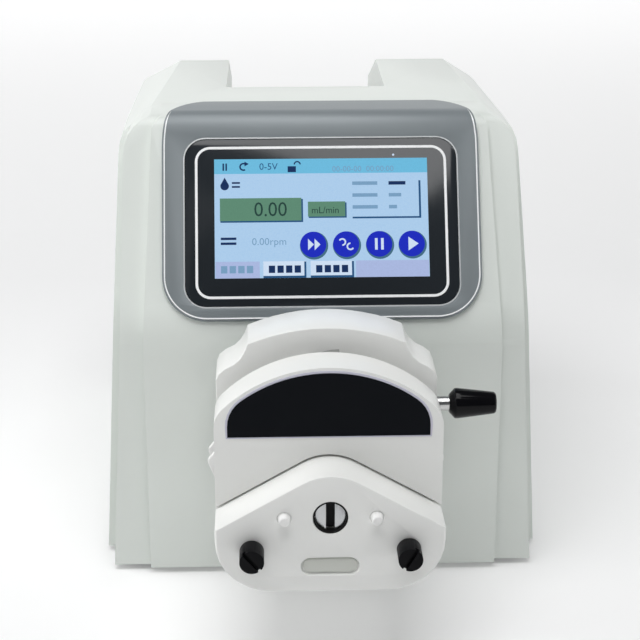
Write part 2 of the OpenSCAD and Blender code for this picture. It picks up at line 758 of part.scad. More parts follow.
front_shell();
rear_shell();
base_plate();
rubber_feet();
display_bezel();
touch_glass();
lcd_module();
control_board();
motor_bracket();
motor_body();
driver_board();
power_supply();
rear_panel();
casing_screws();
fan_frame();
fan_impeller();
fan_guard();
power_inlet();
fuse_drawer();
switch_frame();
switch_rocker();
control_port();
mount_flange();
head_back_plate();
lower_front_body();
lower_rear_body();
lift_pad();
guide_posts();
front_bearing();
rear_bearing();
shaft_seal();
stack_dowels();
head_screws();
upper_cover();
upper_bridge();
press_block();
label_plate();
rotor_shaft();
drive_coupling();
rotor_disc_front();
rotor_disc_rear();
roller_pins();
roller_1();
roller_2();
roller_3();
lever_axle();
lever_cam();
lever_rod();
lever_knob();
tube_clamp_left();
tube_clamp_right();
clamp_knob_left();
clamp_knob_right();
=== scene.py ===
import json
from math import cos, pi, radians, sin

import bmesh
import bpy
import numpy as np
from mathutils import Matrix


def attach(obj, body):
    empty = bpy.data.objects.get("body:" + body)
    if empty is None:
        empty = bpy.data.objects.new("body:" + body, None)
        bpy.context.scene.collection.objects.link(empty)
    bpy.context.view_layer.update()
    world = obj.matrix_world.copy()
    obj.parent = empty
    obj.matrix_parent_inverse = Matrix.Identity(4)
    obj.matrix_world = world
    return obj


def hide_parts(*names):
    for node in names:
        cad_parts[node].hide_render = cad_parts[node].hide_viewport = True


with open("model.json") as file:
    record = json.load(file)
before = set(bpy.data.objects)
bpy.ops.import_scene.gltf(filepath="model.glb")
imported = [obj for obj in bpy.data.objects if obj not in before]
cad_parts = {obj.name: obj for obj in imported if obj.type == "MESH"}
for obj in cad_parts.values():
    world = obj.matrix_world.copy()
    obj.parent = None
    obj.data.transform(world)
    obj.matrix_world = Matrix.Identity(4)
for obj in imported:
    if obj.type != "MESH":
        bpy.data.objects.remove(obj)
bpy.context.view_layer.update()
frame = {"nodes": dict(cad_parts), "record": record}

# ---- camera and daylight studio ----
# A long lens held above the bench, a little to the left of the pump and tipped down onto it. A soft
# panel overhead and one at each side light the edges more than the faces, and a weak one stands in front.
look_down, look_across = radians(20.8), radians(1.9)
camera_data = bpy.data.cameras.new("bench_camera")
camera_data.sensor_width = 36
camera_data.lens = 92.8
camera_data.clip_start, camera_data.clip_end = 0.02, 20
camera = bpy.data.objects.new("bench_camera", camera_data)
camera.location = (-0.02398, -0.7481, 0.3829)
camera.rotation_euler = (pi / 2 - look_down, 0, -look_across)
bpy.context.scene.collection.objects.link(camera)
bpy.context.scene.camera = camera

world = bpy.data.worlds.new("pale_room")
world.use_nodes = True
world.node_tree.nodes["Background"].inputs["Color"].default_value = (0.93, 0.96, 1.0, 1)
world.node_tree.nodes["Background"].inputs["Strength"].default_value = 0.12
bpy.context.scene.world = world
bpy.context.scene.view_settings.view_transform = "Standard"


def soft_lamp(name, place, tilt, size, watts):
    """A square panel of light at a place, turned about X, Y and Z in degrees."""
    data = bpy.data.lights.new(name, "AREA")
    data.size, data.energy = size, watts
    lamp = bpy.data.objects.new(name, data)
    lamp.location, lamp.rotation_euler = place, [radians(t) for t in tilt]
    bpy.context.scene.collection.objects.link(lamp)


soft_lamp("ceiling_panel", (-0.15, -0.4, 1.5), (13, -6, 0), 1.2, 18.5)
soft_lamp("left_panel", (-1.4, -0.12, 0.5), (78, 0, -86), 1.0, 9)
soft_lamp("right_panel", (1.4, -0.1, 0.5), (78, 0, 86), 1.0, 5)
soft_lamp("window_panel", (-0.9, -1.7, 0.9), (64, 0, -28), 0.9, 0.9)


# ---- bench top ----
# A plain white paper sheet, only there to stand on. It sweeps up far behind the pump, and glows a
# little more there so that it stays white where the lamps don't reach.
def bench_top():
    """A flat grid in x and y that turns up behind the pump: z is half the square of y - 1.2 past 1.2 m."""
    across, back = 31, 61
    x, y = np.meshgrid(np.linspace(-3, 3, across), np.linspace(-2.5, 3.5, back))
    z = np.clip(y - 1.2, 0, None) ** 2 * 0.5
    points = np.stack([x, y, z], -1).reshape(-1, 3)
    i = np.arange(across - 1)[None, :] + across * np.arange(back - 1)[:, None]
    faces = np.stack([i, i + 1, i + across + 1, i + across], -1).reshape(-1, 4)
    mesh = bpy.data.meshes.new("bench_top")
    mesh.from_pydata(points.tolist(), [], faces.tolist())
    mesh.polygons.foreach_set("use_smooth", np.ones(len(faces), bool))
    top = bpy.data.objects.new("bench_top", mesh)
    bpy.context.scene.collection.objects.link(top)
    paper = bpy.data.materials.new("white_paper")
    paper.use_nodes = True
    sheet = paper.node_tree.nodes["Principled BSDF"]
    sheet.inputs["Base Color"].default_value = (0.8, 0.8, 0.8, 1)
    sheet.inputs["Roughness"].default_value = 0.8
    sheet.inputs["Specular IOR Level"].default_value = 0.1
    sheet.inputs["Emission Color"].default_value = (1, 1, 1, 1)
    where = paper.node_tree.nodes.new("ShaderNodeTexCoord")
    apart = paper.node_tree.nodes.new("ShaderNodeSeparateXYZ")
    lift = paper.node_tree.nodes.new("ShaderNodeMapRange")
    lift.inputs["From Min"].default_value, lift.inputs["From Max"].default_value = 0.35, 1.6
    lift.inputs["To Min"].default_value, lift.inputs["To Max"].default_value = 0.14, 0.7
    paper.node_tree.links.new(where.outputs["Object"], apart.inputs["Vector"])
    paper.node_tree.links.new(apart.outputs["Y"], lift.inputs["Value"])
    paper.node_tree.links.new(lift.outputs["Result"], sheet.inputs["Emission Strength"])
    mesh.materials.append(paper)


bench_top()

# ---- casing shells ----
# Two moulded ABS shells that meet on a split line behind the face and screw to the base plate. The
# front one has a raised centre panel, and the rear one a hand grip and vents. Both are off-white with a
# fine spark texture.
mm = 0.001
nodes = frame["nodes"]
body_of = {n: b for b, ns in frame["record"]["behaviour"]["bodies"].items() for n in ns}


def surface(name, colour, other, rough, grain=0.0, grain_size=900.0, blotch=40.0, metallic=0.0, coat=0.0,
            stretch=(1, 1, 1), spec=0.5):
    """Principled material: two close colours mixed by broad noise, roughness moved by the same noise,
    and a fine grain as bump. stretch squeezes the grain along an axis, as brushing does."""
    m = bpy.data.materials.new(name)
    m.use_nodes = True
    tree = m.node_tree
    bsdf = tree.nodes["Principled BSDF"]
    where = tree.nodes.new("ShaderNodeTexCoord")
    turned = tree.nodes.new("ShaderNodeMapping")
    turned.inputs["Scale"].default_value = stretch
    broad = tree.nodes.new("ShaderNodeTexNoise")
    broad.inputs["Scale"].default_value = blotch
    broad.inputs["Detail"].default_value = 4
    mix = tree.nodes.new("ShaderNodeMix")
    mix.data_type = "RGBA"
    mix.inputs[6].default_value = (*colour, 1)
    mix.inputs[7].default_value = (*other, 1)
    dull = tree.nodes.new("ShaderNodeMapRange")
    dull.inputs["To Min"].default_value = rough * 0.85
    dull.inputs["To Max"].default_value = min(1, rough * 1.15)
    fine = tree.nodes.new("ShaderNodeTexNoise")
    fine.inputs["Scale"].default_value = grain_size
    fine.inputs["Detail"].default_value = 2
    bump = tree.nodes.new("ShaderNodeBump")
    bump.inputs["Strength"].default_value = grain
    bump.inputs["Distance"].default_value = 0.0002
    link = tree.links.new
    link(where.outputs["Object"], turned.inputs["Vector"])
    link(where.outputs["Object"], broad.inputs["Vector"])
    link(turned.outputs["Vector"], fine.inputs["Vector"])
    link(broad.outputs["Fac"], mix.inputs["Factor"])
    link(mix.outputs[2], bsdf.inputs["Base Color"])
    link(fine.outputs["Fac"], dull.inputs["Value"])
    link(dull.outputs["Result"], bsdf.inputs["Roughness"])
    link(fine.outputs["Fac"], bump.inputs["Height"])
    link(bump.outputs["Normal"], bsdf.inputs["Normal"])
    bsdf.inputs["Metallic"].default_value = metallic
    bsdf.inputs["Coat Weight"].default_value = coat
    bsdf.inputs["Specular IOR Level"].default_value = spec
    return m


def rounded(node, material, width, steps=3, angle=32, share=None, keep=None):
    """The node's own solid, welded, its flat faces made whole and its sharp edges rounded to width (mm).
    share, if given, tells from an edge's middle (mm) what part of the width that edge takes, and keep
    which vertices stay as they are."""
    mesh = nodes[node].data.copy()
    work = bmesh.new()
    work.from_mesh(mesh)
    bmesh.ops.remove_doubles(work, verts=work.verts, dist=2e-6)
    whole = [v for v in work.verts if not (keep and keep(v.co / mm))]
    inside = set(whole)
    bmesh.ops.dissolve_limit(work, angle_limit=radians(0.6), verts=whole,
                             edges=[e for e in work.edges if e.verts[0] in inside and e.verts[1] in inside])
    if share:
        part = work.edges.layers.float.new("bevel_weight_edge")
        for e in work.edges:
            if len(e.link_faces) == 2 and e.calc_face_angle(0) > radians(angle):
                e[part] = share((e.verts[0].co + e.verts[1].co) / 2 / mm)
                e.smooth = e[part] > 0
    work.to_mesh(mesh)
    work.free()
    mesh.materials.clear()
    mesh.materials.append(material)
    mesh.polygons.foreach_set("use_smooth", np.ones(len(mesh.polygons), bool))
    piece = bpy.data.objects.new(node + "_moulded", mesh)
    bpy.context.scene.collection.objects.link(piece)
    edge = piece.modifiers.new("rounded_edges", "BEVEL")
    edge.width, edge.segments, edge.limit_method = width * mm, steps, "WEIGHT" if share else "ANGLE"
    edge.angle_limit = radians(angle)
    edge.harden_normals = True
    edge.miter_outer = "MITER_ARC"
    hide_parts(node)
    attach(piece, body_of[node])
    return piece


casing_white = surface("casing_white", (0.71, 0.745, 0.71), (0.69, 0.725, 0.69), 0.34, 0.08, 1500, 6)
rounded("front_shell", casing_white, 2.2, 4)


def by_the_vents(c):
    """True on the side walls, low and far back, where the slots are."""
    return abs(c.x) > 90 and c.y > 20 and 8 < c.z < 110


rounded("rear_shell", casing_white, 1.2, share=lambda c: 0.0 if by_the_vents(c) and c.y < 160 else 1.0,
        keep=by_the_vents)

# ---- base plate and feet ----
# A zinc-plated steel sheet screwed up under the shells, and four moulded black rubber feet pushed
# through holes in it.
zinc = surface("zinc_plate", (0.55, 0.56, 0.57), (0.48, 0.49, 0.5), 0.38, 0.05, 300, 60, metallic=0.9)
foot_rubber = surface("foot_rubber", (0.02, 0.02, 0.02), (0.035, 0.035, 0.035), 0.75, 0.4, 1200)


def paint(material, *names):
    """Gives CAD nodes their finish."""
    for name in names:
        slots = nodes[name].data.materials
        slots.clear()
        slots.append(material)


paint(zinc, "base_plate", "motor_bracket")
rounded("rubber_feet", foot_rubber, 0.8)

# ---- display bezel ----
# Die-cast frame in a grey metallic lacquer, let into the slope and bent over the top edge. Just inside its
# edge runs a painted highlight, a thin near-white strip for the light caught on its rounded edge, which thins
# out where it turns over the top.
bezel_grey = surface("bezel_grey", (0.2, 0.225, 0.238), (0.228, 0.255, 0.268), 0.4, 0.06, 2500, 25,
                     metallic=0.12, spec=0.4)
rounded("display_bezel", bezel_grey, 0.9, 3)
casing_home = (0, -70, 3)                           # from the casing's own measures to the shared ones
slope = radians(29)                                 # how far the sloping face leans back from upright
slope_y, slope_z, slope_top = -1.749, 118.67, 92.24  # where the bezel's face begins, and how far it goes up
bend_y, bend_z, bend_r = 51.717, 194.5, 10          # middle and radius of the bend over the top edge
bezel_half, bezel_corner, bezel_foot = 70.8, 20, 4  # half width, lower corner radius, lower edge
top_wide, top_tall, top_start = 22, 33, 129.88      # upper corners, measured square to the bend's middle


def on_slope(s):
    """Depth and height (mm) of the bezel's outer face at a distance s up the slope."""
    return slope_y + s * np.sin(slope), slope_z + s * np.cos(slope)


def bezel_path(inset):
    """Stations down one side of the bezel, round both lower corners and up the other side, set in from its
    edge: points and outward normals. The lower corners are quarter circles, and the sides close in along
    quarter ellipses, x = half - wide * (1 - sqrt(1 - (t / tall)^2)), as they pass over the bend."""
    bend = np.linspace(radians(78), slope, 14)
    s = np.linspace(slope_top, bezel_foot + bezel_corner + 2, 40)
    y = np.concatenate([bend_y - bend_r * np.cos(bend), on_slope(s)[0]])
    z = np.concatenate([bend_z + bend_r * np.sin(bend), on_slope(s)[1]])
    lean = (pi / 2 - slope) / 2
    t = np.clip(y * cos(lean) + z * sin(lean) - top_start, 0, top_tall)
    x = inset - bezel_half + top_wide * (1 - np.sqrt(1 - (t / top_tall) ** 2))
    a = np.radians(np.linspace(180, 270, 19))
    r = bezel_corner - inset
    corner_y, corner_z = on_slope(bezel_foot + bezel_corner + r * np.sin(a))
    half = np.column_stack([np.concatenate([x, bezel_corner - bezel_half + r * np.cos(a)]),
                            np.concatenate([y, corner_y]), np.concatenate([z, corner_z])])
    facing = np.concatenate([bend, np.full(len(s) + len(a), slope)])
    normal = np.column_stack([np.zeros(len(facing)), -np.cos(facing), np.sin(facing)])
    return np.concatenate([half, half[::-1] * (-1, 1, 1)]), np.concatenate([normal, normal[::-1]])


def solid(name, rings, material, body="base", closed=False):
    """A skin through a stack of rings (metres, rings by points by 3). It is capped flat at both ends, or
    joined from the last ring to the first if closed."""
    n, m = rings.shape[:2]
    i, j = np.meshgrid(np.arange(n if closed else n - 1), np.arange(m), indexing="ij")
    k, up = (j + 1) % m, (i + 1) % n
    faces = np.stack([i * m + j, i * m + k, up * m + k, up * m + j], -1).reshape(-1, 4).tolist()
    if not closed:
        faces += [list(range(m)), list(range((n - 1) * m, n * m))]
    mesh = bpy.data.meshes.new(name)
    mesh.from_pydata(rings.reshape(-1, 3).tolist(), [], faces)
    mesh.materials.append(material)
    work = bmesh.new()
    work.from_mesh(mesh)
    bmesh.ops.recalc_face_normals(work, faces=work.faces)
    work.to_mesh(mesh)
    work.free()
    piece = bpy.data.objects.new(name, mesh)
    bpy.context.scene.collection.objects.link(piece)
    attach(piece, body)
    return piece


def carried(points, normals, section, size):
    """Rings of a closed section (across, out) carried along a path of stations, each scaled across by
    size: point + across * size * side + out * normal, where side is the path's direction x normal."""
    along = np.gradient(points, axis=0)
    along /= np.linalg.norm(along, axis=1)[:, None]
    side = np.cross(along, normals)[:, None] * size[:, None, None]
    section = np.asarray(section, float)[None, :, :, None]
    rings = points[:, None] + side * section[:, :, 0] + normals[:, None] * section[:, :, 1]
    return (rings + casing_home) * mm


# painted highlight: a near-white strip along the bezel's edge, standing for light caught on its rounded edge
edge_highlight_paint = surface("edge_highlight_paint", (0.95, 0.96, 0.96), (0.9, 0.91, 0.92), 0.3, 0.0, 400, 30, spec=0.6)
line_points, line_normals = bezel_path(1.1)
station = np.arange(len(line_points))
fade = np.clip(np.minimum(station, station[::-1]) / 10, 0.12, 1)
line_section = [(-0.28, -0.4), (0.28, -0.4), (0.28, 0.07), (-0.28, 0.07)]
solid("bezel_painted_highlight", carried(line_points, line_normals, line_section, fade), edge_highlight_paint)

# ---- touch glass ----
# A black-backed glass with a clear window over the screen and a printed white line round it. It is
# bonded into the bezel, and a thin light band round the bezel's opening is a painted highlight of that
# opening's inner edge.
glass_black = surface("glass_black", (0.014, 0.018, 0.022), (0.018, 0.022, 0.027), 0.14, 0.01, 400, 30,
                      spec=0.42)
rounded("touch_glass", glass_black, 0.35, 2)


def corners(node):
    """All the vertices of a CAD node, as rows."""
    mesh = nodes[node].data
    co = np.zeros(len(mesh.vertices) * 3)
    mesh.vertices.foreach_get("co", co)
    return co.reshape(-1, 3)


def slope_frame():
    """Centre of the glass's outer face, and the directions across, up and out of it, from the faces that
    look forwards and up."""
    mesh = nodes["touch_glass"].data
    area = np.zeros(len(mesh.polygons))
    normal = np.zeros(len(mesh.polygons) * 3)
    mesh.polygons.foreach_get("area", area)
    mesh.polygons.foreach_get("normal", normal)
    normal = normal.reshape(-1, 3)
    facing = (normal[:, 1] < -0.3) & (normal[:, 2] > 0.2)
    out = (normal[facing] * area[facing, None]).sum(0)
    out /= np.linalg.norm(out)
    across = np.array([1.0, 0, 0])
    up = np.cross(out, across)
    co = corners("touch_glass")
    middle = [(co @ a).min() / 2 + (co @ a).max() / 2 for a in (across, up)]
    return across * middle[0] + up * middle[1] + out * (co @ out).max(), across, up, out


glass_centre, across, up_slope, out_slope = slope_frame()


def shaded(name, colour, glow=0.0, rough=0.35, other=None):
    """Printed or lit colour with a faint dot pattern in it, as on a screen or a screen-printed film."""
    m = bpy.data.materials.new(name)
    m.use_nodes = True
    tree = m.node_tree
    bsdf = tree.nodes["Principled BSDF"]
    where = tree.nodes.new("ShaderNodeTexCoord")
    dots = tree.nodes.new("ShaderNodeTexVoronoi")
    dots.inputs["Scale"].default_value = 1800
    mix = tree.nodes.new("ShaderNodeMix")
    mix.data_type = "RGBA"
    mix.inputs[6].default_value = (*colour, 1)
    mix.inputs[7].default_value = (*(other or [c * 0.9 for c in colour]), 1)
    tree.links.new(where.outputs["Object"], dots.inputs["Vector"])
    tree.links.new(dots.outputs["Distance"], mix.inputs["Factor"])
    if glow:
        bsdf.inputs["Base Color"].default_value = (*[c * 0.1 for c in colour], 1)
        tree.links.new(mix.outputs[2], bsdf.inputs["Emission Color"])
        bsdf.inputs["Emission Strength"].default_value = glow
        bsdf.inputs["Specular IOR Level"].default_value = 0.1
    else:
        tree.links.new(mix.outputs[2], bsdf.inputs["Base Color"])
    bsdf.inputs["Roughness"].default_value = rough
    return m


def place_on_glass(flat):
    """Rows of across, up and out (mm from the glass's centre) turned into places in the frame."""
    return glass_centre + flat @ np.array([across, up_slope, out_slope]) * mm


def at_height(outline, height):
    """A flat outline with its height above the glass as third column."""
    return np.column_stack([outline, np.full(len(outline), height)])


def on_glass(name, outline, height, thick, material, centre=(0, 0)):
    """A thin slab on the slope: a closed outline (mm, N by 2), from height to height + thick."""
    outline = np.asarray(outline, float) + centre
    rings = np.stack([place_on_glass(at_height(outline, h)) for h in (height, height + thick)])
    return solid(name, rings, material)


def round_rect(w, l, r, steps=8):
    """Rectangle w by l whose corners are quarter circles of radius r, anticlockwise."""
    a = np.linspace(0, pi / 2, steps + 1)
    quarter = np.column_stack([np.cos(a), np.sin(a)]) * r
    turn = [np.array([[cos(t), sin(t)], [-sin(t), cos(t)]]) for t in (0, pi / 2, pi, 3 * pi / 2)]
    middle = [(w / 2 - r, l / 2 - r), (r - w / 2, l / 2 - r), (r - w / 2, r - l / 2), (w / 2 - r, r - l / 2)]
    return np.concatenate([quarter @ turn[k] + middle[k] for k in range(4)])


def band(name, outer, inner, height, thick, material, place=place_on_glass, body="base"):
    """A closed band between two outlines of the same number of points, square in section."""
    rows = ((outer, height), (outer, height + thick), (inner, height + thick), (inner, height))
    rings = np.stack([place(at_height(outline, h)) for outline, h in rows])
    return solid(name, rings, material, body, closed=True)


white_ink = shaded("white_ink", (0.92, 0.93, 0.94), rough=0.5)
band("glass_white_line", round_rect(112.2, 68.8, 6.8), round_rect(109.9, 66.5, 5.65), 0.02, 0.06,
     white_ink)
# painted highlight: a pale metallic band standing for the light on the inner edge of the bezel's opening
lip_highlight_paint = surface("lip_highlight_paint", (0.78, 0.8, 0.81), (0.7, 0.72, 0.73), 0.3, 0.0, 400, 30, metallic=0.6)
band("bezel_opening_highlight", round_rect(123.2, 77.6, 10.2), round_rect(121.5, 75.9, 9.35), -0.6, 1.0, lip_highlight_paint)

# ---- lit screen ----
# The picture that the panel behind the window shows: a status bar, a flow figure, a unit box, round
# keys and four tabs. Every mark is a thin glowing slab just over the glass, laid in layers so that each
# keeps its own colour.
screen_w, screen_l, screen_rise = 95.04, 53.86, 1.7  # the lit area, and how far above centre it sits
screen_ink = {
    "sky": shaded("screen_sky", (0.42, 0.60, 0.80), 0.95, other=(0.36, 0.55, 0.78)),
    "cyan": shaded("screen_cyan", (0.15, 0.49, 0.72), 0.95),
    "navy": shaded("screen_navy", (0.008, 0.03, 0.11), 0.9),
    "green": shaded("screen_green", (0.11, 0.25, 0.17), 0.95),
    "edge": shaded("screen_edge", (0.02, 0.09, 0.22), 0.9),
    "grey": shaded("screen_grey", (0.20, 0.36, 0.55), 0.9),
    "lilac": shaded("screen_lilac", (0.40, 0.48, 0.74), 0.95),
    "blue": shaded("screen_blue", (0.012, 0.025, 0.50), 0.95),
    "white": shaded("screen_white", (0.62, 0.74, 0.90), 0.95),
    "shade": shaded("screen_shade", (0.06, 0.16, 0.24), 0.9),
    "text": shaded("screen_text", (0.02, 0.06, 0.05), 0.9),
}
print_lift, layer_step = 0.02, 0.03
marks = [0]


def mark(outline, ink, layer, centre=(0, 0)):
    """One coloured shape on the screen. Its place is measured in mm from the screen's top left corner."""
    marks[0] += 1
    place = (centre[0] - screen_w / 2, screen_l / 2 + screen_rise - centre[1])
    flipped = np.asarray(outline, float) * (1, -1)
    on_glass(f"screen_mark_{marks[0]:03d}", flipped, print_lift + layer * layer_step, layer_step,
             screen_ink[ink], place)


def bar(x0, y0, x1, y1, ink, layer):
    """Upright rectangle from one corner to the other."""
    mark([(x0, y0), (x1, y0), (x1, y1), (x0, y1)], ink, layer)


def disc(radius, steps=40):
    """Circle as an outline."""
    a = np.linspace(0, 2 * pi, steps, endpoint=False)
    return np.column_stack([np.cos(a), np.sin(a)]) * radius


def arc_stroke(radius, wide, start, stop, steps=16):
    """Part of a ring between two angles in degrees."""
    a = np.radians(np.linspace(start, stop, steps))
    ring = np.column_stack([np.cos(a), np.sin(a)])
    return np.concatenate([ring * (radius + wide / 2), ring[::-1] * (radius - wide / 2)])


def figures(text, x, y, tall, ink, layer, wide=1.0):
    """Numerals and simple signs set with the built-in face; x, y is their lower left corner."""
    marks[0] += 1
    curve = bpy.data.curves.new("figures", "FONT")
    curve.body, curve.size, curve.resolution_u = text, tall / 0.72, 3
    temp = bpy.data.objects.new("figures", curve)
    bpy.context.scene.collection.objects.link(temp)
    bpy.context.view_layer.update()
    flat = bpy.data.meshes.new_from_object(temp.evaluated_get(bpy.context.evaluated_depsgraph_get()))
    bpy.data.objects.remove(temp)
    co = np.zeros(len(flat.vertices) * 3)
    flat.vertices.foreach_get("co", co)
    co = co.reshape(-1, 3)
    spots = np.column_stack([co[:, 0] * wide + x - screen_w / 2, co[:, 1] + screen_l / 2 + screen_rise - y])
    placed = place_on_glass(at_height(spots, print_lift + (layer + 1) * layer_step))
    flat.vertices.foreach_set("co", placed.ravel())
    flat.materials.clear()
    flat.materials.append(screen_ink[ink])
    piece = bpy.data.objects.new(f"screen_mark_{marks[0]:03d}", flat)
    bpy.context.scene.collection.objects.link(piece)
    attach(piece, "base")


# the status bar: pause, direction, control input, lock and clock
bar(0, 0, screen_w, screen_l, "sky", 0)
bar(0, 0, screen_w, 6.7, "cyan", 1)
bar(3.7, 1.9, 4.4, 5.2, "navy", 2)
bar(5.0, 1.9, 5.7, 5.2, "navy", 2)
mark(arc_stroke(1.5, 0.7, 60, 300), "navy", 2, (13.0, 3.5))
mark([(0, -1.1), (1.9, 0), (0, 1.1)], "navy", 2, (13.5, 2.2))
figures("0-5V", 20.0, 4.9, 3.1, "edge", 2)
bar(32.7, 3.4, 36.4, 6.1, "navy", 2)
mark(arc_stroke(1.3, 0.6, 180, 360), "navy", 2, (37.0, 2.6))
figures("00-00-00  00:00:00", 52.5, 6.0, 2.6, "grey", 2)
# the flow rate with its drop sign, its unit and the box of settings
mark(disc(1.9), "navy", 1, (4.6, 12.2))
mark([(-1.75, -0.7), (0, -3.9), (1.75, -0.7)], "navy", 1, (4.6, 12.2))
bar(7.8, 10.4, 11.4, 11.2, "navy", 1)
bar(7.8, 12.2, 11.4, 13.0, "navy", 1)
bar(2.6, 18.3, 39.3, 28.8, "edge", 1)
bar(2.4, 17.8, 38.6, 28.1, "green", 2)
figures("0.00", 17.4, 26.0, 6.6, "text", 3, 0.95)
bar(41.8, 20.1, 58.7, 27.0, "edge", 1)
bar(41.5, 19.6, 58.1, 26.4, "green", 2)
figures("mL/min", 43.0, 24.9, 3.1, "text", 3, 0.95)
bar(91.0, 10.3, 91.9, 27.4, "edge", 1)
bar(61.3, 26.6, 91.9, 27.4, "edge", 1)
for row in range(3):
    bar(61.4, 10.6 + 5.4 * row, 72.6, 12.2 + 5.4 * row, "grey", 1)
    bar(77.6, 10.6 + 5.4 * row, 85.2 - 2 * row, 12.2 + 5.4 * row, "navy" if row == 0 else "grey", 1)
# the speed and the four round keys: fast, turn round, pause and run
bar(2.7, 35.5, 9.6, 36.6, "navy", 1)
bar(2.7, 37.7, 9.6, 38.8, "navy", 1)
figures("0.00rpm", 16.4, 39.0, 3.3, "grey", 1)
for k, x in enumerate((43.6, 58.2, 72.9, 87.4)):
    mark(disc(6.3), "shade", 1, (x + 0.35, 39.5))
    mark(disc(5.8), "blue", 2, (x, 39.0))
    if k == 0:
        for dx in (-2.3, 0.6):
            mark([(0, -2.6), (2.6, 0), (0, 2.6)], "white", 3, (x + dx, 39.0))
    if k == 1:
        mark(arc_stroke(1.4, 0.7, -150, 90), "white", 3, (x - 1.7, 38.0))
        mark(arc_stroke(1.4, 0.7, 30, 270), "white", 3, (x + 1.9, 40.0))
    if k == 2:
        for dx in (-1.9, 0.8):
            bar(x + dx, 36.4, x + dx + 1.2, 41.6, "white", 3)
    if k == 3:
        mark([(-1.5, -3.1), (3.0, 0), (-1.5, 3.1)], "white", 3, (x, 39.0))
# the tabs along the foot, and the light sensor above the screen
for x0, x1, live in ((0.3, 19.8, 0), (21.4, 40.4, 1), (42.3, 61.5, 1), (62.4, 94.8, 0)):
    bar(x0, 46.4, x1, screen_l, "lilac" if not live else "white", 1)
    if live:
        bar(x1 - 0.9, 46.6, x1, screen_l, "edge", 2)
        bar(x0, 52.9, x1, screen_l, "edge", 2)
    if x0 < 60:
        for n in range(4):
            bar(x0 + 2.4 + 3.8 * n, 48.3, x0 + 5.2 + 3.8 * n, 51.6, "grey" if not live else "navy", 2)
# painted glow: the light sensor is drawn in the screen's glowing white ink, though it gives no light of its
# own
mark(disc(0.5, 16), "white", 0, (80.0, -1.5))

# ---- pump head body ----
# Moulded in a pale, slightly glossy plastic: a fixed lower half, and an upper half that slides up two
# steel posts. The outer edges at the front are rounded broadly, and the rest only a little.
head_white = surface("head_white", (0.84, 0.845, 0.825), (0.82, 0.825, 0.805), 0.33, 0.05, 1200, 8, spec=0.5)


def lower_share(c):
    """Broad along the front outline below the roof, narrow at the roof, the holes and the back."""
    outline = abs(c.x) > 46 or c.z < 41
    return 1.0 if outline and c.y < -150 and c.z < 68 else 0.35


rounded("lower_front_body", head_white, 2.6, 4, share=lower_share)
rounded("lower_rear_body", head_white, 0.8)
rounded("upper_cover", head_white, 3.0, 4, share=lambda c: 0.3 if c.z < 103 and abs(c.x) < 44 else 1.0)
rounded("press_block", head_white, 1.6, 3)
rounded("head_back_plate", head_white, 0.8)
paint(head_white, "upper_bridge")

# ---- label plate ----
# A printed black plastic film let into the front of the cover and glued down. A thin pale lavender band
# all round it is a painted highlight of the edge of the recess that the film sits in.
label_black = surface("label_black", (0.003, 0.004, 0.006), (0.005, 0.006, 0.008), 0.42, 0.03, 500, spec=0.06)
paint(label_black, "label_plate")
# The outline is the film's own, in x and z, put in order round its middle; the rim's height is its depth y.
label_co = corners("label_plate") / mm
label_front = label_co[:, 1].min()
edge_xz = np.unique(np.round(label_co[label_co[:, 1] < label_front + 0.05][:, [0, 2]], 2), axis=0)
edge_xz = edge_xz[np.argsort(np.arctan2(*(edge_xz - edge_xz.mean(0)).T[::-1]))]
ahead, behind = np.roll(edge_xz, -1, 0) - edge_xz, edge_xz - np.roll(edge_xz, 1, 0)
run = ahead / np.linalg.norm(ahead, axis=1)[:, None] + behind / np.linalg.norm(behind, axis=1)[:, None]
run /= np.linalg.norm(run, axis=1)[:, None]
outward = np.column_stack([run[:, 1], -run[:, 0]])
# painted highlight: a pale lavender band standing for the light on the recess edge round the film
label_edge_highlight_paint = surface("label_edge_highlight_paint", (0.62, 0.62, 0.72), (0.58, 0.58, 0.68), 0.4, 0.0, 400, 30)
band("label_rim_highlight", edge_xz + outward * 0.9, edge_xz + outward * 0.02, label_front + 0.18, 0.5, label_edge_highlight_paint,
     lambda p: p[:, [0, 2, 1]] * mm, "upper_block")

# ---- name pill ----
# A small moulded inlay in a greenish grey plastic, glued into the long round-ended recess low on the
# head.
pill_grey = surface("pill_grey", (0.62, 0.635, 0.59), (0.58, 0.595, 0.55), 0.45, 0.05, 900)
pill_end, pill_foot, pill_height = 3.15, -152.4, 49.3  # end radius, depth of its foot, mid-height


def pill_rings():
    """Rings of the round-ended outline, each drawn in to a share of its height as it rises forwards: z is
    height + share * outline, x comes in by (1 - share) * end radius and y by the rise."""
    flat = round_rect(22.4, 6.4, pill_end, 12)
    share, rise = np.array([(1.0, 0.0), (1.0, 0.45), (0.93, 0.62), (0.8, 0.7)]).T[:, :, None]
    x = flat[:, 0] - np.sign(flat[:, 0]) * (1 - share) * pill_end
    y = np.broadcast_to(pill_foot - rise, x.shape)
    return np.stack([x, y, pill_height + flat[:, 1] * share], -1) * mm


solid("name_pill", pill_rings(), pill_grey)

# ---- lever ----
# A turned steel rod screwed into the cam on its steel axle, with a tapered phenolic knob pressed onto
# its end. Turning it down lifts the upper half off the rollers.
turned_steel = surface("turned_steel", (0.6, 0.6, 0.6), (0.5, 0.5, 0.5), 0.22, 0.06, 700, 90, metallic=1.0,
                       stretch=(0.05, 1, 1))
knob_black = surface("knob_black", (0.002, 0.002, 0.003), (0.004, 0.004, 0.005), 0.12, 0.01, 300, spec=0.15)
paint(turned_steel, "lever_rod", "lever_axle", "lever_cam")
rounded("lever_knob", knob_black, 0.5, 3, 25)
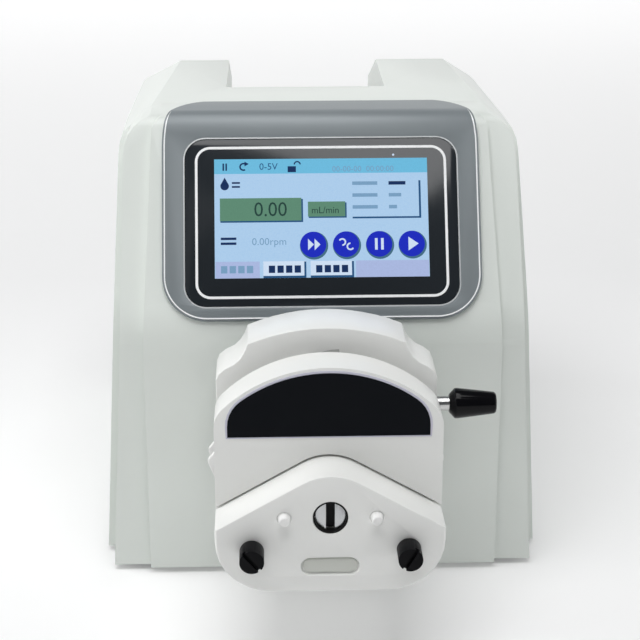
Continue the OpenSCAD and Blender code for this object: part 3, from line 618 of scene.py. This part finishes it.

# ---- shaft, seal and rotor ----
# A ground steel shaft with a slotted end, a thin dark plate of painted shade lying on the slot's floor, a
# rubber lip seal pressed round it, and two steel discs that hold nylon rollers on pins.
ground_steel = surface("ground_steel", (0.55, 0.56, 0.57), (0.45, 0.46, 0.47), 0.24, 0.04, 900, 120,
                       metallic=1.0)
seal_rubber = surface("seal_rubber", (0.006, 0.006, 0.006), (0.01, 0.01, 0.01), 0.6, 0.2, 900, spec=0.2)
nylon = surface("nylon", (0.82, 0.82, 0.80), (0.78, 0.78, 0.76), 0.38, 0.05, 700)
rounded("rotor_shaft", ground_steel, 0.3, 2)
# painted shade: a near-black plate on the slot floor, standing for the shadow down in the slot
slot_shade_paint = surface("slot_shade_paint", (0.01, 0.01, 0.012), (0.02, 0.02, 0.022), 0.6, 0.1, 900, spec=0.1)
slot_half, slot_long, shaft_height = 1.77, 5.8, 71.4  # half width, half length, height of the shaft
slot_front, slot_back = -149.62, -149.3


def slot_floor():
    """Rings from the slot's lower end to its upper one, each out along the front and back along the rear,
    with y swelled by 0.06 * cos(z / 1.8)."""
    z = np.linspace(-slot_long, slot_long, 13)[:, None]
    x = np.linspace(-slot_half, slot_half, 5)
    y = np.repeat([slot_front, slot_back], len(x)) + 0.06 * np.cos(z / 1.8)
    return np.stack([np.broadcast_to(np.concatenate([x, x[::-1]]), y.shape), y,
                     np.broadcast_to(z + shaft_height, y.shape)], -1) * mm


solid("shaft_slot_shade", slot_floor(), slot_shade_paint, "rotor")
paint(seal_rubber, "shaft_seal")
paint(ground_steel, "rotor_disc_front", "rotor_disc_rear", "roller_pins", "front_bearing", "rear_bearing",
      "guide_posts", "lift_pad")
rounded("roller_1", nylon, 0.6, 2)
rounded("roller_2", nylon, 0.6, 2)
rounded("roller_3", nylon, 0.6, 2)

# ---- dowels, clamps and clamp knobs ----
# White acetal dowels pressed into the front, white tube catches that slide up and down at the sides,
# and black slotted nylon knobs that raise the catches.
acetal = surface("acetal", (0.85, 0.85, 0.84), (0.82, 0.82, 0.81), 0.3, 0.03, 700)
knob_dull = surface("knob_dull", (0.003, 0.003, 0.004), (0.006, 0.006, 0.007), 0.4, 0.08, 800, spec=0.08)
rounded("stack_dowels", acetal, 0.3, 2)
rounded("tube_clamp_left", acetal, 0.6, 2)
rounded("tube_clamp_right", acetal, 0.6, 2)
rounded("clamp_knob_left", knob_dull, 0.9, 3)
rounded("clamp_knob_right", knob_dull, 0.9, 3)

# ---- head mounting ----
# A cast aluminium flange bolted to the motor bracket carries the head. Black socket screws hold the
# head to it, and a cast coupling joins the motor to the rotor.
cast = surface("cast_aluminium", (0.42, 0.43, 0.44), (0.36, 0.37, 0.38), 0.45, 0.25, 600, metallic=0.8)
black_oxide = surface("black_oxide", (0.03, 0.03, 0.033), (0.045, 0.045, 0.048), 0.4, 0.1, 700, metallic=0.6)
rounded("mount_flange", cast, 0.8)
paint(cast, "drive_coupling")
rounded("head_screws", black_oxide, 0.3, 2)

# ---- rear panel and its fittings ----
# Powder-coated steel sheet held by four zinc screws, with the fan and its wire guard, the mains inlet,
# fuse drawer and switch in black nylon, and the plated control port.
powder_grey = surface("powder_grey", (0.55, 0.56, 0.565), (0.51, 0.52, 0.525), 0.55, 0.5, 1400)
black_nylon = surface("black_nylon", (0.018, 0.018, 0.02), (0.028, 0.028, 0.03), 0.48, 0.2, 1000)
switch_red = surface("switch_red", (0.42, 0.02, 0.02), (0.36, 0.015, 0.015), 0.3, 0.02, 500)
bright_zinc = surface("bright_zinc", (0.62, 0.62, 0.63), (0.55, 0.55, 0.56), 0.28, 0.05, 600, metallic=1.0)
paint(powder_grey, "rear_panel")
paint(black_nylon, "fan_impeller")
rounded("fan_frame", black_nylon, 0.5, 2)
rounded("power_inlet", black_nylon, 0.5, 2)
rounded("fuse_drawer", black_nylon, 0.5, 2)
rounded("switch_frame", black_nylon, 0.5, 2)
rounded("switch_rocker", switch_red, 0.4, 2)
rounded("casing_screws", bright_zinc, 0.3, 2)
paint(bright_zinc, "fan_guard", "control_port")

# ---- inside the casing ----
# A black motor in a zinc-plated bracket, green circuit boards, and a power supply in a zinc case, all
# screwed to the base plate or the front shell and seen only through the vents.
motor_black = surface("motor_black", (0.02, 0.02, 0.022), (0.03, 0.03, 0.032), 0.4, 0.15, 800)
board_green = surface("board_green", (0.02, 0.12, 0.05), (0.015, 0.09, 0.04), 0.4, 0.1, 400)
screen_back = surface("screen_back", (0.3, 0.31, 0.32), (0.26, 0.27, 0.28), 0.4, 0.05, 500, metallic=0.8)
paint(motor_black, "motor_body")
paint(board_green, "control_board", "driver_board")
paint(zinc, "power_supply")
paint(screen_back, "lcd_module")
